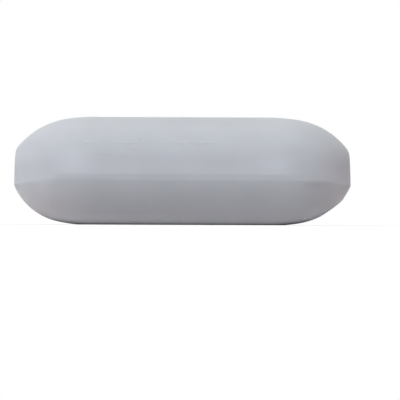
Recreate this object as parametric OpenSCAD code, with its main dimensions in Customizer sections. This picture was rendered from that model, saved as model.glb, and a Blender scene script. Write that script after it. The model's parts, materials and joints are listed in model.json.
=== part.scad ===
// Magnetic stir bar: a bar magnet sealed inside a moulded PTFE casing.
// X runs along the bar and Z is up. The bar lies on the plane Z = 0, with its middle over the origin.
// Each half of the casing is drawn as its mould cavity would form it, about the bar's own axis.
// The casing is then turned about that axis to the way it lies, and gets its narrow resting flat.

/* [Casing] */
// Length of the bar from tip to tip
bar_length = 22.225; // [19:0.005:40]
// Diameter of the round body
bar_d = 7.2; // [6.6:0.05:10]
// Length over which each end narrows
dome_length = 4.9; // [4.6:0.05:5.2]
// Radius of the gentle shoulder arc that starts each domed end
shoulder_r = 14; // [10:0.25:18]
// Angle from upright at which the nose arc takes over from the shoulder arc
shoulder_angle = 9.5; // [8:0.5:12]
// Radius of the nose arc
nose_r = 4.9; // [4.6:0.05:5.3]
// Faint crease where one stretch of the outline meets the next, in degrees
outline_crease = 2.5; // [1.5:0.25:3]
// Width of the chamfer that breaks the edge round each flat tip, measured on the flat
tip_chamfer = 0.15; // [0.05:0.05:0.3]
// Lean of the flat tips, which reach out farthest at the parting plane, in degrees
tip_draft = 2; // [0.5:0.5:4]

/* [Parting line] */
// Drop of the parting plane below the bar's axis
parting_drop = 0.68; // [0.4:0.02:0.9]
// Draft of the upper half's side walls, in degrees
wall_draft = 9; // [4:0.5:12]
// How much fuller the lower half is than the upper, measured on its radius
lower_fullness = 0.24; // [0.1:0.02:0.3]
// Height of the strip left along each side where the flash was trimmed off
trim_strip_h = 0.43; // [0.2:0.01:0.6]

/* [Rest] */
// Width of the flat along the underside
rest_flat_w = 1.3; // [1:0.05:1.8]
// Turn of the bar about its own axis as it lies, which lifts the parting line at the front, in degrees
lying_turn = 4; // [0:0.5:8]

/* [Magnet] */
// Diameter of the magnet
magnet_d = 4.76; // [3:0.01:5.2]
// Length of the magnet
magnet_length = 17.5; // [10:0.1:17.8]
// Chamfer round each end of the magnet
magnet_chamfer = 0.3; // [0.1:0.05:0.6]
// Clearance left all round the magnet
magnet_clearance = 0.02; // [0.01:0.01:0.1]

/* [Hidden] */
$fn = 96;

body_r = bar_d / 2;
lower_r = body_r + lower_fullness;
half_length = bar_length / 2;
// A block of this size is larger than the whole bar, for cutting one side of a plane away
beyond = 2 * bar_length;

// Unit vector at an angle from the radial direction, as [outwards, along the axis]
function way(angle) = [cos(angle), sin(angle)];

// The outline of an end as [radius, station along the axis]: straight side, shoulder arc, nose arc, chamfer, tip.
// Each arc crosses the stretch before it at the crease's angle.
dome_start = [body_r, half_length - dome_length];
shoulder_centre = dome_start - shoulder_r * way(outline_crease);
nose_start = shoulder_centre + shoulder_r * way(shoulder_angle);
nose_centre = nose_start - nose_r * way(shoulder_angle + outline_crease);
// The nose arc still lies outside the shoulder arc at this station, just before they cross
nose_station = nose_start.y - nose_r * sin(outline_crease);

// The chamfer's slope lies halfway between the nose arc's at the tip and the tip's own
nose_end_angle = asin((half_length - nose_centre.y) / nose_r);
nose_end_radius = nose_centre.x + nose_r * cos(nose_end_angle);
chamfer_angle = (nose_end_angle + 90) / 2;
chamfer_top = [nose_end_radius - tip_chamfer, half_length];
chamfer_foot = chamfer_top + 4 * tip_chamfer * [sin(chamfer_angle), -cos(chamfer_angle)];

// Each side wall of the upper half is a drafted plane, which crosses the round crown at the crease's angle
wall_reach = body_r * cos(outline_crease);
// It starts level with the crown's widest point at its own draft, and ends a little under the parting plane
wall_h = (body_r * sin(wall_draft) + parting_drop) / cos(wall_draft) + trim_strip_h;

// The trimmed strip runs from the upper wall to the lower round, half its height each side of the parting plane
strip_top = -parting_drop + trim_strip_h / 2;
strip_foot = -parting_drop - trim_strip_h / 2;
strip_top_y = (wall_reach - strip_top * sin(wall_draft)) / cos(wall_draft);
strip_foot_y = sqrt(lower_r ^ 2 - (strip_foot - lower_fullness) ^ 2);
strip_lean = (strip_top_y - strip_foot_y) / trim_strip_h;

// Place of the bar's axis, which centres the bar's width over the origin and sets its flat on Z = 0
axis_height = sqrt(lower_r ^ 2 - (rest_flat_w / 2) ^ 2) - lower_fullness * cos(lying_turn);
axis_place = [0, -strip_top * sin(lying_turn), axis_height];

// A bar drawn upright, its section's width along X and its height along Y, laid down along the X axis
module along_bar() {
    rotate([90, 0, 90]) children();
}

// One end's outline, from the middle of the bar to the tip and from the axis outwards
module end_outline() {
    square([body_r, shoulder_centre.y]);
    intersection() {
        translate(shoulder_centre) circle(shoulder_r);
        translate([0, shoulder_centre.y]) square([body_r, nose_station - shoulder_centre.y]);
    }
    intersection() {
        translate(shoulder_centre) circle(shoulder_r);
        translate(nose_centre) circle(nose_r);
        polygon([
            [0, nose_station], [body_r, nose_station], [body_r, chamfer_foot.y],
            chamfer_foot, chamfer_top, [0, half_length]
        ]);
    }
}

// Half of the bar's lengthwise outline, from its axis outwards. It stands off the axis by the extra fullness.
module outline(fullness = 0) {
    for (end = [0, 1]) mirror([0, end]) {
        translate([fullness, 0]) end_outline();
        if (fullness > 0) square([fullness, half_length]);
    }
}

// The outline turned round the axis from one angle to another
module turned(from, to, fullness = 0) {
    rotate([0, 0, from]) rotate_extrude(angle = to - from) outline(fullness);
}

// Round crown, and on each side a wall that leaves it and runs down at the draft
module upper_cavity() {
    turned(0, 360);
    for (side = [0, 1]) mirror([side, 0, 0]) {
        rotate([0, 0, wall_draft]) translate([wall_reach - body_r, 0, 0]) {
            rotate([90, 0, 0]) linear_extrude(wall_h) outline();
        }
    }
}

// A round a little larger than the crown's, its axis higher by the same amount, so that its base keeps its place
module lower_cavity() {
    translate([0, lower_fullness, 0]) turned(0, 360, lower_fullness);
}

// The two halves as they meet at the parting plane
module moulding() {
    intersection() {
        upper_cavity();
        translate([-beyond / 2, -parting_drop, -beyond / 2]) cube(beyond);
    }
    intersection() {
        lower_cavity();
        translate([-beyond / 2, -parting_drop - beyond, -beyond / 2]) cube(beyond);
    }
}

// Section that the sides are trimmed to: two nearly upright planes that cut only the ridge at the parting line
module trim_section() {
    top_y = strip_top_y + (beyond - strip_top) * strip_lean;
    foot_y = strip_foot_y - (bar_d + strip_foot) * strip_lean;
    polygon([[-top_y, beyond], [top_y, beyond], [foot_y, -bar_d], [-foot_y, -bar_d]]);
}

// Side view that the tips are trimmed to, leaning in from their full reach at the foot of the trimmed strip
module tip_side_view() {
    slope = tan(tip_draft);
    top_x = half_length - (bar_d - strip_foot) * slope;
    foot_x = half_length + (bar_d + strip_foot) * slope;
    polygon([[-foot_x, -bar_d], [foot_x, -bar_d], [top_x, bar_d], [-top_x, bar_d]]);
}

// The casing's outside about the bar's own axis, as it comes from the mould and is trimmed
module trimmed_moulding() {
    intersection() {
        along_bar() moulding();
        along_bar() linear_extrude(beyond, center = true) trim_section();
        rotate([90, 0, 0]) linear_extrude(beyond, center = true) tip_side_view();
    }
}

// Lengthwise profile of the magnet, grown outwards by the given clearance
module magnet_body(clearance = 0) {
    r = magnet_d / 2 + clearance;
    end = magnet_length / 2 + clearance;
    along_bar() rotate_extrude() polygon([
        [0, -end], [r - magnet_chamfer, -end], [r, -end + magnet_chamfer],
        [r, end - magnet_chamfer], [r - magnet_chamfer, end], [0, end]
    ]);
}

module ptfe_casing() {
    color([0.86, 0.88, 0.91]) difference() {
        translate(axis_place) rotate([-lying_turn, 0, 0]) trimmed_moulding();
        translate([-beyond / 2, -beyond / 2, -beyond]) cube(beyond);
        translate(axis_place) magnet_body(magnet_clearance);
    }
}

module bar_magnet() {
    color([0.45, 0.45, 0.47]) translate(axis_place) magnet_body();
}

ptfe_casing();
bar_magnet();
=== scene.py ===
# %% [markdown]
# # A magnetic stir bar
# A stir bar is a bar magnet sealed inside a white PTFE casing. It lies in a beaker, and a turning magnet
# under the beaker spins it. This one is straight, with domed ends and small flat tips. The casing is
# moulded in two cavities, so a parting line runs along both sides, a little below the middle.

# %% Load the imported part
import json

from math import atan2, cos, pi, radians, sin, sqrt, tan

import bmesh
import bpy
from mathutils import Euler, Matrix, Vector, noise

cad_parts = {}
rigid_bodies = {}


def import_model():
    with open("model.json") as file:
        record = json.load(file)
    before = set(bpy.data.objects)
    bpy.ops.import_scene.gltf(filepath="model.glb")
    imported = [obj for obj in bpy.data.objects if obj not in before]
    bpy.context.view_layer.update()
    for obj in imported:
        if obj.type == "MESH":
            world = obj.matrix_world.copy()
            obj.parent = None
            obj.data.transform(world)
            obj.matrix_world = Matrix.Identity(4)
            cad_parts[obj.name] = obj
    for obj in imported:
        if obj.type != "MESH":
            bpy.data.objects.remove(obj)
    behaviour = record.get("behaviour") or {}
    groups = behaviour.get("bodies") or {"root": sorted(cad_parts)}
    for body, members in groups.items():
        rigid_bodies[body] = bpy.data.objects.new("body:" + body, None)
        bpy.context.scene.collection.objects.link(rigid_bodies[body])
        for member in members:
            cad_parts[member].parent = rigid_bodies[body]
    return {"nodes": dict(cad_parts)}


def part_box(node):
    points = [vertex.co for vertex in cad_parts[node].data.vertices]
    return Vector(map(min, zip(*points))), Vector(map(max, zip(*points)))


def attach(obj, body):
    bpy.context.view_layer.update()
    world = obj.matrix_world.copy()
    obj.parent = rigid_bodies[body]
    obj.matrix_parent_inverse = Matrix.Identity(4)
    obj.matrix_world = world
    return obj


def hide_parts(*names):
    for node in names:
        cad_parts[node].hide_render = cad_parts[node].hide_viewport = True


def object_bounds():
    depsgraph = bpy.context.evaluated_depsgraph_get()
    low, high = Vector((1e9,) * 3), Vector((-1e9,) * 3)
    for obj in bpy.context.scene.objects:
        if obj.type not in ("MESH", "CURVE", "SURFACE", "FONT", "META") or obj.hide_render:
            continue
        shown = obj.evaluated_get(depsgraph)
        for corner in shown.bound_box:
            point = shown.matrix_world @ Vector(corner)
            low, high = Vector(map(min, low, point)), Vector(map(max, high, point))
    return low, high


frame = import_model()
cad_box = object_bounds()
MM = 0.001

print("CAD nodes:", sorted(frame["nodes"]))
print("CAD box in mm:", [[round(c / MM, 3) for c in corner] for corner in cad_box])

# %% [markdown]
# ## Where the bar lies
# The magnet is round and centred in the casing, so the middle of its box is a point on the bar's axis. The
# bar has rolled a little about that axis, as a loose bar does, and that lifts the parting line at the
# front.

# %% The bar's axis and its roll
magnet_low, magnet_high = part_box("bar_magnet")
axis_point = (magnet_low + magnet_high) / 2
lying_turn = radians(4)
to_place = Matrix.Translation(axis_point) @ Matrix.Rotation(-lying_turn, 4, "X")

print("Axis height in mm:", round(axis_point.z / MM, 3))

# %% [markdown]
# ## The outline
# Seen from the side, each end narrows in a long gentle shoulder, then in a tighter nose, and stops at a flat
# tip with a soft edge. Each arc leaves the one before it without a kink. The two ends, and the upper and
# lower halves of each, differ by a tenth of a millimetre or so, as hand-trimmed ends do. An outline like
# this could be a Bezier curve, but an arc has a radius that means something on a real part, and spinning one
# vertex about a centre draws exactly such an arc. The sizes come from a least-squares fit of such arcs to
# the bar's outline, rounded and then adjusted.

# %% Sizes of the outline
body_r = 3.594 * MM


def end_sizes(reach, dome_length, shoulder_r, shoulder_turn, nose_r, edge_r):
    """Sizes of one end's outline, given in millimetres and degrees."""
    return reach * MM, dome_length * MM, shoulder_r * MM, radians(shoulder_turn), nose_r * MM, edge_r * MM


crown_left = end_sizes(11.07, 5.12, 12, 7.5, 5.3, 0.85)
crown_right = end_sizes(11.05, 5.46, 13.5, 8.7, 5.15, 0.75)
base_left = end_sizes(11.1, 5.16, 11, 12.3, 4.1, 0.65)
base_right = end_sizes(11.1, 5.46, 13, 9, 5.15, 0.85)

print("Length in mm:", round((base_left[0] + base_right[0]) / MM, 2), "and radius:", round(body_r / MM, 3))

# %% Draw an outline with spun vertices
shoulder_steps, nose_steps, edge_steps, straight_cuts = 16, 34, 12, 27


def sweep_vertex(mesh, start, centre, turn, steps):
    """Spins one vertex about a centre in the outline's plane, and returns the vertex at the arc's end."""
    swept = bmesh.ops.spin(mesh, geom=[start], cent=centre, axis=(0, 1, 0), angle=turn, steps=steps)
    return next(item for item in swept["geom_last"] if isinstance(item, bmesh.types.BMVert))


def draw_end(mesh, start, side, sizes):
    """Carries the outline on from a vertex to a tip: side is -1 for the left end and 1 for the right."""
    reach, dome_length, shoulder_r, shoulder_turn, nose_r, edge_r = sizes
    start.co = (side * (reach - dome_length), 0, body_r)
    shoulder_centre = start.co - Vector((0, 0, shoulder_r))
    nose_way = Vector((side * sin(shoulder_turn), 0, cos(shoulder_turn)))
    nose_centre = shoulder_centre + (shoulder_r - nose_r) * nose_way
    edge_x = reach - edge_r
    edge_out = edge_x - side * nose_centre.x
    edge_up = sqrt((nose_r - edge_r) ** 2 - edge_out**2)
    edge_centre = nose_centre + Vector((side * edge_out, 0, edge_up))
    edge_turn = atan2(edge_out, edge_up)
    nose = sweep_vertex(mesh, start, shoulder_centre, side * shoulder_turn, shoulder_steps)
    edge = sweep_vertex(mesh, nose, nose_centre, side * (edge_turn - shoulder_turn), nose_steps)
    return sweep_vertex(mesh, edge, edge_centre, side * (pi / 2 - edge_turn), edge_steps)


def draw_outline(left, right):
    """One outline from tip to tip. Its vertices are numbered along it in the layer called ring."""
    mesh = bmesh.new()
    first = mesh.verts.new((-MM, 0, body_r))
    straight = bmesh.ops.extrude_vert_indiv(mesh, verts=[first])
    draw_end(mesh, first, -1, left)
    draw_end(mesh, straight["verts"][0], 1, right)
    bmesh.ops.subdivide_edges(mesh, edges=straight["edges"], cuts=straight_cuts)
    ring = mesh.verts.layers.int.new("ring")
    for number, vert in enumerate(sorted(mesh.verts, key=lambda v: v.co.x)):
        vert[ring] = number
    return mesh


# %% Draw the crown's outline and the base's
skin = draw_outline(crown_left, crown_right)
base_mesh = draw_outline(base_left, base_right)
crown_line = sorted((v.co.copy() for v in skin.verts), key=lambda c: c.x)
base_line = sorted((v.co.copy() for v in base_mesh.verts), key=lambda c: c.x)
base_mesh.free()

print("Stations along the bar:", len(crown_line), "and", len(base_line))
print("Radius of the flat tips in mm:", round(crown_line[0].z / MM, 2), round(crown_line[-1].z / MM, 2))

# %% [markdown]
# ## Round body
# Spinning the outline about the bar's axis gives a plain round bar, as it would be turned on a lathe. The
# steps of the spin are also the lines that the next cells shape, so there are enough of them for a fine
# edge.

# %% Spin the outline about the axis
crown_steps, wall_steps, corner_steps, strip_steps, base_steps = 46, 10, 6, 4, 40
half_steps = crown_steps + wall_steps + 2 * corner_steps + strip_steps + base_steps
bmesh.ops.spin(
    skin, geom=skin.verts[:] + skin.edges[:], cent=(0, 0, 0), axis=(1, 0, 0),
    angle=2 * pi, steps=2 * half_steps, use_merge=True,
)
bmesh.ops.remove_doubles(skin, verts=skin.verts, dist=0.0001 * MM)

print("Faces of the round body:", len(skin.faces))

# %% [markdown]
# ## The moulded section
# The two cavities meet on a plane below the axis. The upper one is round on top, and its side walls open
# outwards at a draft, so that the moulding comes out. The lower one is rounder. Where they meet, the flash
# was trimmed off, which left a narrow strip along each side that runs out on the domed ends into one fine
# line. Cutting such a strip with planes would end it too early, because the trimming followed the ends.
# Instead each ring of the round body is pressed to the section of its own station. Each size below is given
# at a few stations along the bar, as (station, size), and eases from one to the next.

# %% The trimmed strip
# Heights of the strip's upper and lower edge against the axis, in millimetres
front_top = (
    (-9.8, -0.89), (-8.6, -0.72), (-7.7, -0.49), (-4.0, -0.49), (-1.5, -0.465), (4.4, -0.47), (5.5, -0.5),
    (6.6, -0.47),
)
front_foot = (
    (-11.0, -0.99), (-10.4, -0.97), (-9.8, -0.95), (-9.2, -0.9), (-8.6, -0.79), (-7.2, -0.79), (-5.0, -0.8),
    (-3.9, -0.89), (8.4, -0.87), (9.6, -0.86), (10.5, -0.95),
)
back_top = ((-9.8, -0.93), (-8.4, -0.7), (-7.3, -0.47), (6.6, -0.46))
back_foot = ((-10.6, -1.08), (-9.0, -0.94), (-7.4, -0.89), (6.7, -0.88), (8.8, -0.92), (10.4, -1.06))
# How far the strip has turned into a plain continuation of the wall, which happens faster on the left end
run_out = ((-8.2, 1), (-7.4, 0), (6.7, 0), (7.4, 0.5), (9.0, 0.65), (10.4, 1))
strip_lean = radians(4)
thinnest_strip = 0.02 * MM
# Its edges wander up and down by up to this much, in millimetres, as hand trimming would leave them
wander_height, wanders_in_a_mm = 0.006, 0.7

# %% The wall above the strip and the face below it
# The wall's draft and the dip of the lower half's face where it leaves the strip, in degrees
draft = ((-10.8, 1.5), (-8.8, 3.5), (-6.8, 8), (6.6, 8), (7.6, 7), (10.6, 3.5))
base_dip = (
    (-10.9, 8), (-9.8, 11), (-8.6, 6), (-6.6, 14.5), (4.4, 15), (6.2, 16), (7.6, 12.5), (9.4, 13), (10.7, 8),
)
# How far up the wall its foot is eased, and how far its foot stands out as a faint lip, in millimetres
foot_ease = (
    (-10.2, 0.06), (-9.4, 0.12), (-7.4, 0.1), (-5.0, 0.1), (-2.0, 0.15), (4.2, 0.15), (5.2, 0.08),
    (6.6, 0.08), (7.4, 0.16), (10.0, 0.16),
)
foot_lip = ((5.0, 0), (5.4, 0.01), (6.6, 0.01), (7.0, 0))
corner_round = 0.07 * MM


def eased(points, x):
    """Value at x on a line through the points, which leaves and reaches each point level."""
    if x <= points[0][0]:
        return points[0][1]
    for (x0, v0), (x1, v1) in zip(points, points[1:]):
        if x <= x1:
            t = (x - x0) / (x1 - x0)
            return v0 + (v1 - v0) * t * t * (3 - 2 * t)
    return points[-1][1]


print("Strip's height in the middle in mm:", round(eased(front_top, 0) - eased(front_foot, 0), 2))


# %% Rows of points that a section is made of
def along(start, end, steps):
    """Evenly spaced points on the way from start to end, without the first."""
    return [start.lerp(end, i / steps) for i in range(1, steps + 1)]


def rounded(corner, way_in, way_out, reach_in, reach_out, steps):
    """Points of the curve that rounds a corner, from where it leaves the way in to the way out."""
    start, end = corner - reach_in * way_in, corner + reach_out * way_out
    points = []
    for i in range(1, steps + 1):
        t = i / steps
        points.append(start.lerp(corner, t).lerp(corner.lerp(end, t), t))
    return points


def crown_points(crown_r, lean):
    """Points round the crown, from its top to where the wall leaves it."""
    points = [Vector((0, crown_r))]
    for i in range(1, crown_steps + 1):
        angle = pi / 2 + (lean - pi / 2) * i / crown_steps
        points.append(crown_r * Vector((cos(angle), sin(angle))))
    return points


def base_points(centre, semi_out, semi_up, start):
    """Points round the lower half's ellipse, from just after the angle start to its lowest point."""
    points = []
    for i in range(1, base_steps + 1):
        angle = start + (-pi / 2 - start) * i / base_steps
        points.append(Vector((semi_out * cos(angle), centre + semi_up * sin(angle))))
    return points


# %% Where the strip's edges and the lower half's face lie
lowest_share = 0.9


def strip_edges(base_r, x, top_edge, foot_edge):
    """Heights of the strip's upper and lower edge. Each side of the bar takes its own row of the noise."""
    noise_row = 9 * top_edge[0][1]
    wander = wander_height * noise.noise(Vector((wanders_in_a_mm * x, noise_row, 0)))
    # At the tips the strip would run past the base, so it ends a tenth of the radius above it
    lowest = -lowest_share * base_r
    foot = max((eased(foot_edge, x) + wander) * MM, lowest)
    top = max((eased(top_edge, x) + wander) * MM, foot + thinnest_strip)
    return top, foot


def lower_ellipse(base_r, heel_out, foot, dip):
    """Ellipse through the heel, which it leaves at the dip, and the base: centre, half axes and rise."""
    fall = base_r + foot
    rise = fall**2 / (heel_out / tan(dip) - 2 * fall)
    centre = foot + rise
    semi_up = base_r + centre
    semi_out = semi_up * sqrt(tan(dip) * heel_out / rise)
    return centre, semi_out, semi_up, rise


# %% One side of the section
# How many roundings would fill the strip's height, and the most of the wall that its eased foot takes
roundings_in_strip, most_of_wall = 2.2, 0.9


def half_section(crown_r, base_r, station, top_edge, foot_edge):
    """Points of one side of the section, from the top of the bar round to its base, as (out, up)."""
    x = station / MM
    top, foot = strip_edges(base_r, x, top_edge, foot_edge)
    lean, dip = radians(eased(draft, x)), radians(eased(base_dip, x))
    # The wall is a straight line, tangent to the crown, and the strip leans back from its foot
    fade = eased(run_out, x)
    back = strip_lean * (1 - fade) - lean * fade
    knee = Vector(((crown_r - top * sin(lean)) / cos(lean), top))
    heel = knee - Vector((tan(back), 1)) * (top - foot)
    centre, semi_out, semi_up, rise = lower_ellipse(base_r, heel.x, foot, dip)
    way_wall = Vector((sin(lean), -cos(lean)))
    way_strip = (heel - knee).normalized()
    way_base = Vector((-sin(dip), -cos(dip)))
    reach = min(corner_round, (top - foot) / roundings_in_strip)
    wall_run = (crown_r * sin(lean) - top) / cos(lean)
    wall_reach = min(eased(foot_ease, x) * MM, most_of_wall * wall_run)
    points = crown_points(crown_r, lean)
    wall_end = knee - wall_reach * way_wall
    points += along(points[-1], wall_end, wall_steps)
    knee.x += eased(foot_lip, x) * MM
    way_lip = knee - wall_end
    points += rounded(knee, way_lip.normalized(), way_strip, way_lip.length, reach, corner_steps)
    points += along(points[-1], heel - reach * way_strip, strip_steps)
    points += rounded(heel, way_strip, way_base, reach, reach, corner_steps)
    start = atan2(-rise / semi_up, heel.x / semi_out) - reach / semi_up
    return points + base_points(centre, semi_out, semi_up, start)


middle_section = half_section(body_r, body_r, 0, front_top, front_foot)

print("Points of a section:", len(middle_section), "for", half_steps, "steps")

# %% Press every ring to its section
ring_layer = skin.verts.layers.int["ring"]
sections = {}


def section_of(number, front):
    """The section's points for a ring, worked out once for each ring and side."""
    if (number, front) not in sections:
        crown, base = crown_line[number], base_line[number]
        edges = (front_top, front_foot) if front else (back_top, back_foot)
        sections[number, front] = half_section(crown.z, base.z, crown.x, *edges)
    return sections[number, front]


for vert in skin.verts:
    number, angle = vert[ring_layer], atan2(vert.co.y, vert.co.z)
    out, up = section_of(number, angle < 0)[round(abs(angle) / pi * half_steps)]
    # Each ring leans from its station on the crown to its station on the base
    crown, base = crown_line[number], base_line[number]
    down = (crown.z - up) / (crown.z + base.z)
    vert.co = (crown.x + (base.x - crown.x) * down, out if angle >= 0 else -out, up)

print("Widest in mm:", round(2 * max(v.co.y for v in skin.verts) / MM, 3))


# %% Close the tips and lay the bar in its place
def close_holes(mesh):
    """Puts a face over each open rim, and returns the new faces."""
    rims = [edge for edge in mesh.edges if edge.is_boundary]
    return bmesh.ops.holes_fill(mesh, edges=rims, sides=0)["faces"]


tips = close_holes(skin)
bmesh.ops.transform(skin, matrix=to_place, verts=skin.verts)
bmesh.ops.recalc_face_normals(skin, faces=skin.faces)
for face in skin.faces:
    face.smooth = face not in tips

print("Tips closed:", len(tips))

# %% [markdown]
# ## Flats
# At the right end two thin slices are missing from the underside of the dome, as if pared with a knife, and
# each leaves a small flat. The bar also has a narrow flat along its underside, which stands in for the
# slight unroundness on which a real bar settles. A boolean could take such slices off, but a cut with a
# plane and a new face over the hole is simpler and leaves exactly the edge that a knife does.

# %% Helper that slices with a plane
# A vertex nearer to the plane than this counts as lying on it
cut_snap = 0.00001 * MM


def slice_off(mesh, middle, way):
    """Cuts with a plane, drops what lies beyond it on the given way, and closes the cut with a flat face."""
    everything = mesh.verts[:] + mesh.edges[:] + mesh.faces[:]
    bmesh.ops.bisect_plane(
        mesh, geom=everything, plane_co=middle, plane_no=way, clear_outer=True, dist=cut_snap,
    )
    cut_faces = close_holes(mesh)
    for face in cut_faces:
        face.smooth = False
    return cut_faces


# %% Pare the corner
# Each slice has its middle against the axis, in millimetres, and the way that it faces
slices = (
    ((10.06, 0, -2.285), (0.588, -0.1, -0.809)),
    ((10.87, 0, -1.43), (0.86, -0.05, -0.507)),
)
pared_area = 0
for middle, way in slices:
    pared = slice_off(skin, axis_point + Vector(middle) * MM, Vector(way).normalized())
    pared_area += sum(face.calc_area() for face in pared)

print("Area of the pared flats in mm2:", round(pared_area / MM**2, 2))

# %% Cut the resting flat
flat = slice_off(skin, (0, 0, 0), (0, 0, -1))
flat_verts = [v.co for face in flat for v in face.verts]

print("Flat's width in mm:", round((max(c.y for c in flat_verts) - min(c.y for c in flat_verts)) / MM, 2))
print("Open edges:", sum(edge.is_boundary for edge in skin.edges))
print("Volume in mm3:", round(skin.calc_volume() / MM**3, 1))

# %% Make the casing's object
casing_mesh = bpy.data.meshes.new("casing_skin")
skin.to_mesh(casing_mesh)
skin.free()
casing = bpy.data.objects.new("casing_skin", casing_mesh)
bpy.context.collection.objects.link(casing)
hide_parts("ptfe_casing")
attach(casing, "root")

print("Casing's faces:", len(casing_mesh.polygons))


# %% [markdown]
# ## Finishes
# A few helpers make each node and its links, so that a finish reads from its pattern to its shader.

# %% Helpers for nodes
def add(tree, kind, inputs=None, **settings):
    """Adds a node, sets it up, and fills its inputs: a socket is linked and anything else is a value."""
    made = tree.nodes.new(kind)
    for name, value in settings.items():
        setattr(made, name, value)
    for name, value in (inputs or {}).items():
        if isinstance(value, bpy.types.NodeSocket):
            tree.links.new(value, made.inputs[name])
        else:
            made.inputs[name].default_value = value
    return made


def maths(tree, operation, *values):
    """Adds a maths node for the given numbers or sockets, and returns its result."""
    return add(tree, "ShaderNodeMath", dict(enumerate(values)), operation=operation).outputs[0]


def vector_maths(tree, operation, *values):
    """Adds a vector maths node, and returns its result. A length and a dot product come out as a number."""
    made = add(tree, "ShaderNodeVectorMath", dict(enumerate(values)), operation=operation)
    return made.outputs["Value" if operation in ("LENGTH", "DOT_PRODUCT") else "Vector"]


def carried_over(tree, value, from_range, to_range=(0.0, 1.0), curve="LINEAR"):
    """Carries a value from one range over to another, on a straight line or on the curve named."""
    inputs = {"Value": value, "From Min": from_range[0], "From Max": from_range[1]}
    inputs.update({"To Min": to_range[0], "To Max": to_range[1]})
    return add(tree, "ShaderNodeMapRange", inputs, interpolation_type=curve).outputs[0]


def as_grey(tree, value):
    """Puts one value on all three channels, so that a colour can be multiplied by it."""
    return add(tree, "ShaderNodeCombineXYZ", {axis: value for axis in "XYZ"}).outputs[0]


# %% Helpers for materials and marks
def new_material(name):
    """An empty material with its output, and its node tree."""
    material = bpy.data.materials.new(name)
    material.use_nodes = True
    material.node_tree.nodes.clear()
    return material, material.node_tree, material.node_tree.nodes.new("ShaderNodeOutputMaterial")


def oval(tree, place, middle, reach, amount):
    """A soft oval mark about a point of the casing: the given amount at its middle and none at its rim."""
    offset = vector_maths(tree, "SUBTRACT", place, axis_point + Vector(middle) * MM)
    away = vector_maths(tree, "LENGTH", vector_maths(tree, "DIVIDE", offset, reach))
    return carried_over(tree, away, (0.0, MM), (amount, 0.0), "SMOOTHSTEP")


# %% [markdown]
# ## Grain that runs along the bar
# Both the moulded casing and the ground magnet carry fine marks along their length. One node group makes
# them: a noise that is stretched along X. It is placed in each material with its own scale. A noise's scale
# counts its waves in a metre here, so a scale of 1500 makes marks about 0.7 mm apart.

# %% Node group of drawn-out grain
grain = bpy.data.node_groups.new("drawn_grain", "ShaderNodeTree")
for name, kind, way in (
    ("Vector", "NodeSocketVector", "INPUT"), ("Scale", "NodeSocketFloat", "INPUT"),
    ("Stretch", "NodeSocketFloat", "INPUT"), ("Detail", "NodeSocketFloat", "INPUT"),
    ("Height", "NodeSocketFloat", "OUTPUT"),
):
    grain.interface.new_socket(name, in_out=way, socket_type=kind)
inside = add(grain, "NodeGroupInput").outputs
parts = add(grain, "ShaderNodeSeparateXYZ", {"Vector": inside["Vector"]}).outputs
squeezed = maths(grain, "DIVIDE", parts["X"], inside["Stretch"])
joined = add(grain, "ShaderNodeCombineXYZ", {"X": squeezed, "Y": parts["Y"], "Z": parts["Z"]}).outputs[0]
marks = add(
    grain, "ShaderNodeTexNoise", {"Vector": joined, "Scale": inside["Scale"], "Detail": inside["Detail"]},
).outputs["Fac"]
add(grain, "NodeGroupOutput", {"Height": marks})
# How far a bump of height 1 stands out at full strength, in both materials
relief_step = 0.02 * MM

print("Group sockets:", [item.name for item in grain.interface.items_tree])

# %% [markdown]
# ## White PTFE
# PTFE is white and slightly see-through, with a waxy sheen. Light goes in and comes out a little way off,
# which subsurface scattering does. The finish is built up in four steps: marks on the front, paler and
# darker places of painted light and shade, its colour, and its relief and gloss.

# %% Start the casing's finish
ptfe, tree, output = new_material("moulded_ptfe")
place = add(tree, "ShaderNodeTexCoord").outputs["Object"]

print("Finish started:", ptfe.name)

# %% [markdown]
# ### Marks on the front
# Fine ridges run along the bar's front, such as a bar takes on as it slides out of its mould, and there are
# a few scuffs. The marks are about 0.3 mm wide and a few hundredths of a millimetre high, too slight to
# show in the outline, so they are soft ovals that feed the bump and not geometry. A noise breaks them up,
# and they are worn a little paler.

# %% Drag marks and scuffs
# Each mark has its middle against the bar's axis and its reach to each side, in millimetres, and its height
marks_on_front = (
    ("left drag", (-6.1, -3.1, 1.83), (0.9, 1.5, 0.15), 0.8),
    ("second drag", (-3.7, -3.1, 1.83), (1.4, 1.5, 0.14), 1.0),
    ("third drag", (0.75, -3.1, 1.83), (2.5, 1.5, 0.15), 1.2),
    ("first scuff", (-3.14, -3.3, 1.49), (0.16, 1, 0.2), 0.9),
    ("second scuff", (-4.1, -3.3, 1.58), (0.3, 1, 0.13), 0.8),
    ("third scuff", (-3.8, -3.4, 1.15), (0.35, 1, 0.14), 0.7),
    ("fourth scuff", (-5.06, -3.4, 1.12), (0.25, 1, 0.14), 0.8),
)
broken = add(tree, "ShaderNodeTexNoise", {"Vector": place, "Scale": 2600, "Detail": 1}).outputs["Fac"]
broken = carried_over(tree, broken, (0.38, 0.55))
drag = 0.0
for name, middle, reach, height in marks_on_front:
    mark = oval(tree, place, middle, reach, height)
    drag = maths(tree, "MULTIPLY_ADD", mark, broken, drag)

print("Marks on the front:", [name for name, *rest in marks_on_front])

# %% [markdown]
# ### Paler and darker places: painted light and shade
# The bar's colour carries painted light and shade. It is paler where the domed ends begin, a painted
# highlight, at the tips and along the lower rims, painted rim light, and low on the ends and the left half,
# painted light from below. It is darker along the ridge of the crown, at the knees, where the walls run out
# and on the pared corner, painted shade. The amounts were set until the render was as bright as the bar.
# Such places could be painted on the mesh, but a soft oval about a point is placed by its size in
# millimetres and needs no unwrapped map.

# %% Painted light and shade, a dark tick and a few painted glints
# A place with this reach runs through the casing from front to back
through = 90
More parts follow.
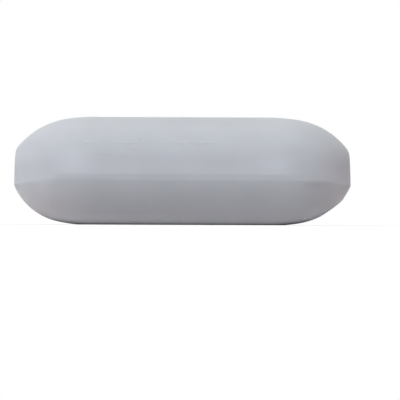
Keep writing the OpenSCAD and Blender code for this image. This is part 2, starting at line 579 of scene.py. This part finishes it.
# Each place has its middle against the axis and its reach, in millimetres, and how much paler it is. The
# paler places are painted highlights and painted light, the darker ones painted shade, the small dark tick
# is a darker spot, and the three small pale spots are painted glints
painted_light_and_shade = (
    ("left shoulder", (-6.9, 0, 0), (2.1, through, 6.5), 0.05),
    ("left wall", (-7.0, 0, 0.65), (2.1, through, 1.2), 0.08),
    ("right shoulder", (6.3, 0, 0), (2.0, through, through), 0.022),
    ("right wall", (6.0, 0, 0.42), (1.7, through, 0.9), 0.075),
    ("right tip", (10.6, 0, -1.8), (1.5, through, 1.2), 0.16),
    ("right foot", (9.0, 0, -2.9), (1.6, through, 0.9), 0.12),
    ("left tip", (-10.7, 0, -1.8), (1.1, through, 0.85), 0.12),
    ("left foot", (-8.0, 0, -1.5), (1.7, through, 0.95), 0.055),
    ("left knee", (-9.9, 0, -0.92), (0.8, through, 0.3), -0.07),
    ("left edge", (-11.0, 0, -1.25), (0.9, through, 0.5), 0.1),
    ("left rim", (-9.6, 0, -2.2), (2.3, 1.5, 1.7), 0.2),
    ("right rim", (10.5, 0, -1.4), (1.2, 1.5, 1.1), 0.13),
    ("pared corner", (9.9, 0, -2.45), (1.4, 1.4, 0.8), -0.14),
    ("foot of the left half", (-4.5, 0, -3.12), (6.5, through, 0.42), 0.075),
    ("right knee", (8.8, 0, -0.9), (1.3, through, 0.45), -0.09),
    ("left crown", (-10.0, 0, 1.7), (1.7, through, 0.9), -0.045),
    ("right crown", (7.5, 0, 1.4), (1.5, through, 0.7), -0.045),
    ("right edge", (10.7, 0, 0.7), (1.5, through, 1.4), -0.06),
    ("middle wall", (-1.4, 0, -0.35), (3.8, through, 0.7), -0.03),
    ("ridge of the crown", (0, 0, 3.7), (14, through, 0.95), -0.08),
    ("dark tick", (-2.8, -3, 2.05), (0.14, 1.5, 0.26), -0.06),
    ("first painted glint", (8.07, -1.42, -3.08), (0.14, 0.4, 0.13), 0.42),
    ("second painted glint", (8.45, -1.15, -3.06), (0.14, 0.4, 0.13), 0.5),
    ("third painted glint", (9.46, -1.05, -2.59), (0.14, 0.4, 0.14), 0.5),
)
worn_paler = 0.03
paler = maths(tree, "MULTIPLY_ADD", drag, worn_paler, 1.0)
# Each place adds its painted light and shade on top of the worn drag marks
for name, middle, reach, amount in painted_light_and_shade:
    paler = maths(tree, "ADD", paler, oval(tree, place, middle, reach, amount))

print("Paler and darker places:", len(painted_light_and_shade))

# %% Colour of the casing
plain_white, warm_lit_white = (0.675, 0.688, 0.725, 1), (0.735, 0.688, 0.728, 1)
clouds = add(tree, "ShaderNodeTexNoise", {"Vector": place, "Scale": 420, "Detail": 3}).outputs["Fac"]
shade = maths(tree, "MULTIPLY", carried_over(tree, clouds, (0.3, 0.7), (0.98, 1.02)), paler)
# The ends are tinted a little warmer, the right one most: a painted tint of the warmer light on them
warm_light_right = oval(tree, place, (11.2, 0, -0.9), (4.0, through, 4.5), 1.0)
warm_light_left = oval(tree, place, (-9.0, 0, -2.2), (4.0, through, 1.8), 0.35)
painted_warm_light = maths(tree, "ADD", warm_light_right, warm_light_left)
# A mix of colours has its two colours on sockets 6 and 7, and its result on output 2
hue = add(
    tree, "ShaderNodeMix", {"Factor": painted_warm_light, 6: plain_white, 7: warm_lit_white}, data_type="RGBA",
).outputs[2]
coloured = add(tree, "ShaderNodeVectorMath", {0: hue, "Scale": shade}, operation="SCALE").outputs[0]

print("White of the middle:", plain_white[:3], "and of the ends:", warm_lit_white[:3])

# %% Relief and gloss of the casing
pore_height, drag_height = 0.35, 7.0
streaks = add(
    tree, "ShaderNodeGroup", {"Vector": place, "Scale": 1500, "Stretch": 30, "Detail": 3}, node_tree=grain,
).outputs["Height"]
pores = add(tree, "ShaderNodeTexNoise", {"Vector": place, "Scale": 5200, "Detail": 2}).outputs["Fac"]
relief = maths(tree, "MULTIPLY_ADD", pores, pore_height, streaks)
relief = maths(tree, "MULTIPLY_ADD", drag, drag_height, relief)
bumped = add(
    tree, "ShaderNodeBump", {"Height": relief, "Strength": 0.25, "Distance": relief_step},
).outputs[0]
rough = carried_over(tree, streaks, (0.3, 0.7), (0.48, 0.58))
shader = add(
    tree, "ShaderNodeBsdfPrincipled",
    {
        "Base Color": coloured, "Roughness": rough, "Normal": bumped, "IOR": 1.36,
        "Subsurface Weight": 0.3, "Subsurface Radius": (1.0, 0.9, 0.8), "Subsurface Scale": 0.5 * MM,
    },
)
tree.links.new(shader.outputs[0], output.inputs["Surface"])
casing_mesh.materials.append(ptfe)

print("Casing's nodes:", len(tree.nodes))

# %% [markdown]
# ## The magnet
# The magnet is sealed in and can't be seen, but the exported part holds it. It is taken to be a cast alloy
# with ground sides, so it gets the same grain as the casing, only finer, in a metal.

# %% The magnet's finish
dark_alloy, bright_alloy = (0.25, 0.25, 0.27, 1), (0.46, 0.46, 0.47, 1)
alloy, tree, output = new_material("cast_magnet_alloy")
place = add(tree, "ShaderNodeTexCoord").outputs["Object"]
ground = add(
    tree, "ShaderNodeGroup", {"Vector": place, "Scale": 4000, "Stretch": 12, "Detail": 4}, node_tree=grain,
).outputs["Height"]
metal = add(
    tree, "ShaderNodeMix", {"Factor": ground, 6: dark_alloy, 7: bright_alloy}, data_type="RGBA",
).outputs[2]
metal_rough = carried_over(tree, ground, (0.0, 1.0), (0.35, 0.65))
metal_bump = add(
    tree, "ShaderNodeBump", {"Height": ground, "Strength": 0.4, "Distance": relief_step},
).outputs[0]
shader = add(
    tree, "ShaderNodeBsdfPrincipled",
    {"Base Color": metal, "Roughness": metal_rough, "Normal": metal_bump, "Metallic": 1.0},
)
tree.links.new(shader.outputs[0], output.inputs["Surface"])
magnet = frame["nodes"]["bar_magnet"]
magnet.data.materials.clear()
magnet.data.materials.append(alloy)

print("Magnet's finish:", magnet.data.materials[0].name)

# %% [markdown]
# ## Floor
# The bar lies on a pale floor. What the camera and the gloss see of it is white and takes the bar's shadow,
# and between 3 and 16 mm from the bar's middle line it fades to plain white light, so that no horizon
# shows. Seen from the side the floor is edge-on, and there its shadow still shows as a faint line beside
# the bar's foot. The light that the floor throws back on the bar is that of a grey bench with four soft
# glows, beside the bar and past its ends. They stand in for light from the surroundings and through the
# casing, which isn't worked out here, and aren't seen themselves. One diffuse floor could do both, but then
# its brightness on the bar and in the view couldn't be set apart, as Light Path lets them be.

# %% Make the floor
# It lies a hair below the bar's flat, so that the two faces don't share a plane
floor_radius, floor_sides, floor_drop = 0.5, 96, 0.01 * MM
floor_mesh = bpy.data.meshes.new("floor")
ground_plane = bmesh.new()
bmesh.ops.create_circle(ground_plane, cap_ends=True, radius=floor_radius, segments=floor_sides)
bmesh.ops.translate(ground_plane, verts=ground_plane.verts, vec=(0, 0, -floor_drop))
ground_plane.to_mesh(floor_mesh)
ground_plane.free()
floor = bpy.data.objects.new("floor", floor_mesh)
bpy.context.collection.objects.link(floor)

print("Floor's height in mm:", round(floor_mesh.vertices[0].co.z / MM, 3))


# %% The floor as it is seen
def rays_that_see(tree):
    """A value of 1 for the rays of the camera, of gloss and of see-through things, and 0 for all others."""
    path = add(tree, "ShaderNodeLightPath").outputs
    seen = maths(tree, "MAXIMUM", path["Is Camera Ray"], path["Is Glossy Ray"])
    return maths(tree, "MAXIMUM", seen, path["Is Transmission Ray"])


bench, tree, output = new_material("pale_bench")
seen = rays_that_see(tree)
spot = add(tree, "ShaderNodeTexCoord").outputs["Object"]
spot_parts = add(tree, "ShaderNodeSeparateXYZ", {"Vector": spot}).outputs
from_middle = vector_maths(tree, "LENGTH", spot)
# A line along the bar's middle reaches this far each way, and the floor fades between the two distances
# from it that follow
straight_reach, fade_start, fade_end = 8 * MM, 3 * MM, 16 * MM
past_end = maths(tree, "SUBTRACT", maths(tree, "ABSOLUTE", spot_parts["X"]), straight_reach)
past_end = maths(tree, "MAXIMUM", past_end, 0)
from_bar = add(tree, "ShaderNodeCombineXYZ", {"X": past_end, "Y": spot_parts["Y"]}).outputs[0]
from_bar = vector_maths(tree, "LENGTH", from_bar)
far = carried_over(tree, from_bar, (fade_start, fade_end), curve="SMOOTHSTEP")
white_floor = add(tree, "ShaderNodeBsdfDiffuse", {"Color": (1.0, 1.0, 1.0, 1)})
white_light = add(tree, "ShaderNodeEmission", {"Color": (1, 1, 1, 1), "Strength": 1.0})
seen_floor = add(tree, "ShaderNodeMixShader", {0: far, 1: white_floor.outputs[0], 2: white_light.outputs[0]})

print("The floor is plain light from", fade_end / MM, "mm out")

# %% The light that the floor throws back
beside = maths(tree, "ABSOLUTE", spot_parts["Y"])
past_left = maths(tree, "MULTIPLY", spot_parts["X"], -1)
# Each glow has a distance that it rises with and one that it falls with, each over a range in millimetres.
# The colours come from the same least-squares fit as those of the lamps.
glows = (
    ("close", beside, (0.6, 1.1), beside, (1.5, 3), (0.088, 0.100, 0.101)),
    ("wide", beside, (0.6, 1.7), beside, (3, 6), (0.163, 0.146, 0.143)),
    ("left end", past_left, (6, 9), from_middle, (12, 20), (0.089, 0.079, 0.070)),
    ("right end", spot_parts["X"], (6, 9), from_middle, (12, 20), (0.040, 0.034, 0.029)),
)
glow_colour = (0, 0, 0)
for name, rising, rise, falling, fall, colour in glows:
    inner = carried_over(tree, rising, [r * MM for r in rise], curve="SMOOTHSTEP")
    outer = carried_over(tree, falling, [f * MM for f in fall], (1.0, 0.0), "SMOOTHSTEP")
    glow = as_grey(tree, maths(tree, "MULTIPLY", inner, outer))
    glow_colour = vector_maths(tree, "MULTIPLY_ADD", glow, colour, glow_colour)
grey_floor = add(tree, "ShaderNodeBsdfDiffuse", {"Color": (0.35, 0.35, 0.35, 1)})
glow_light = add(tree, "ShaderNodeEmission", {"Color": glow_colour, "Strength": 1.0})
lit_floor = add(tree, "ShaderNodeAddShader", {0: grey_floor.outputs[0], 1: glow_light.outputs[0]})
mixed = add(tree, "ShaderNodeMixShader", {0: seen, 1: lit_floor.outputs[0], 2: seen_floor.outputs[0]})
tree.links.new(mixed.outputs[0], output.inputs["Surface"])
floor_mesh.materials.append(bench)

print("Glows on the floor:", [name for name, *rest in glows])

# %% [markdown]
# ## Light
# The light is a soft tent. It is brightest in a wide lamp low at the front left, bright above, and dark on
# the right. Lamps of that size could be area lights, but a glow in the world needs only a way to lie in, and
# no place or distance. Each lamp is a round glow on the sky: the dot product of the view direction and the
# lamp's own, raised to a power that says how narrow it is. The ways and the powers were chosen. The colours
# of the lamps, which are also their strengths, and of the floor's glows were not: a least-squares fit of one
# render for each of them gave these, and they were then rounded and blended. Only the back fill and the
# level of the tent were given.

# %% World
# Each lamp has the way that it lies in, how narrow it is, and its colour. The fit gave these colours,
# except the back fill's.
lamps = (
    ("overhead", (0, 0, 1), 4, (0.79, 0.83, 0.73)),
    ("front key", (0, -0.57, 0.82), 6, (0.83, 0.92, 1.01)),
    ("left fill", (-0.7, -0.7, 0.12), 4, (1.66, 1.59, 1.72)),
    ("left side", (-1, -0.2, 0), 8, (0.24, 0.27, 0.24)),
    ("back fill", (0, 1, 0), 1, (0.50, 0.50, 0.50)),
)
tent_level = 0.10
world = bpy.data.worlds.new("soft_tent")
bpy.context.scene.world = world
world.use_nodes = True
tree = world.node_tree
tree.nodes.clear()
sky = add(tree, "ShaderNodeTexCoord").outputs["Generated"]
level = as_grey(tree, tent_level)
for name, way, narrowness, colour in lamps:
    facing = vector_maths(tree, "DOT_PRODUCT", sky, Vector(way).normalized())
    glow = as_grey(tree, maths(tree, "POWER", maths(tree, "MAXIMUM", facing, 0), narrowness))
    level = vector_maths(tree, "MULTIPLY_ADD", glow, colour, level)
tent = add(tree, "ShaderNodeBackground", {"Color": level, "Strength": 1.0})
white = add(tree, "ShaderNodeBackground", {"Color": (1, 1, 1, 1), "Strength": 1.0})
mixed = add(tree, "ShaderNodeMixShader", {0: rays_that_see(tree), 1: tent.outputs[0], 2: white.outputs[0]})
add(tree, "ShaderNodeOutputWorld", {"Surface": mixed.outputs[0]})

print("Lamps in the tent:", [name for name, *rest in lamps])

# %% [markdown]
# ## Camera
# The camera looks along +Y from the front, from just above the floor, through a long lens that keeps the
# outline true. It aims a little low and to the right of the bar's middle, which puts the bar up and to the
# left in the view, and it leans by about a fifth of a degree. It is turned by its angles, and not by a
# constraint that tracks the bar, because the lean is then one plain number.

# %% Camera
view_width = 26.53 * MM
lens, sensor = 300, 36
camera_height = 0.15 * MM
camera_lean = radians(-0.22)
off_middle = Vector((1.17, 0, -1.92)) * MM
aim = (cad_box[0] + cad_box[1]) / 2 + off_middle
distance = view_width * lens / sensor
look_up = atan2(aim.z - camera_height, distance)
camera_data = bpy.data.cameras.new("camera")
camera_data.lens, camera_data.sensor_width = lens, sensor
camera_data.clip_start, camera_data.clip_end = 1 * MM, 10
camera = bpy.data.objects.new("camera", camera_data)
bpy.context.collection.objects.link(camera)
camera.location = (aim.x, -distance, camera_height)
camera.rotation_euler = Euler((pi / 2 + look_up, camera_lean, 0))
bpy.context.scene.camera = camera
bpy.context.scene.view_settings.view_transform = "Standard"

print("Camera's distance in mm:", round(distance / MM, 1))
